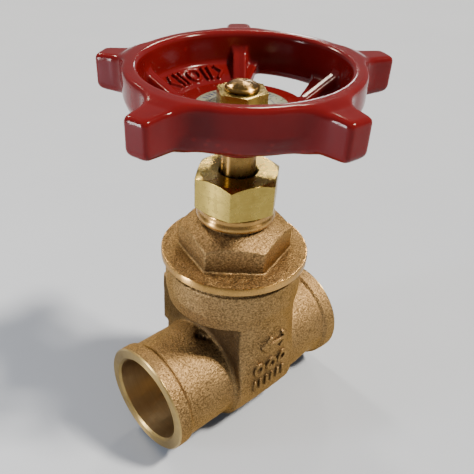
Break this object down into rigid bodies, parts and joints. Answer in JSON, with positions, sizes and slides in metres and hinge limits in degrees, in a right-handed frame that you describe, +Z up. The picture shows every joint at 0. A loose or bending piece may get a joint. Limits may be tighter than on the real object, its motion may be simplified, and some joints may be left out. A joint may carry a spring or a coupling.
{
  "type": "gate valve",
  "caption": "Bronze gate valve with solder sockets for copper tube, a lugged red handwheel and a non-rising stem that lifts a solid wedge clear of the bore.",
  "frame": {"origin": "centre of the waterway, where the stem axis crosses the pipe axis", "axes": "+X along the pipe, +Z up the stem towards the handwheel"},
  "size_m": [0.0629, 0.0619, 0.0953],
  "materials": {
    "cast_bronze": "sand-cast bronze, machined on the faces and in the bores",
    "yellow_brass": "bright turned brass",
    "red_enamel": "gloss enamel over cast iron",
    "printed_plate": "thin printed metal disc",
    "gasket_fibre": "dark compressed fibre",
    "packing_graphite": "pressed graphite packing"
  },
  "bodies": {
    "valve": {"valve_body": "cast_bronze", "bonnet_gasket": "gasket_fibre", "bonnet": "cast_bronze", "thrust_washer": "yellow_brass", "packing_ring_lower": "packing_graphite", "packing_ring_middle": "packing_graphite", "packing_ring_upper": "packing_graphite", "gland_follower": "yellow_brass", "packing_nut": "yellow_brass"},
    "spindle": {"stem": "yellow_brass", "handwheel": "red_enamel", "identification_plate": "printed_plate", "handwheel_nut": "yellow_brass"},
    "gate": {"gate_wedge": "cast_bronze"}
  },
  "joints": [
    {"name": "handwheel_turn", "type": "hinge", "parent": "valve", "child": "spindle", "pos_m": [0, 0, 0.05], "axis": [0, 0, 1], "range_deg": [-2520, 0]},
    {"name": "wedge_slide", "type": "slide", "parent": "valve", "child": "gate", "axis": [0, 0, 1], "range_m": [-0.021, 0]}
  ],
  "couplings": [
    {"joint": "wedge_slide", "follows": "handwheel_turn", "m_per_rad": 0.00047746}
  ]
}
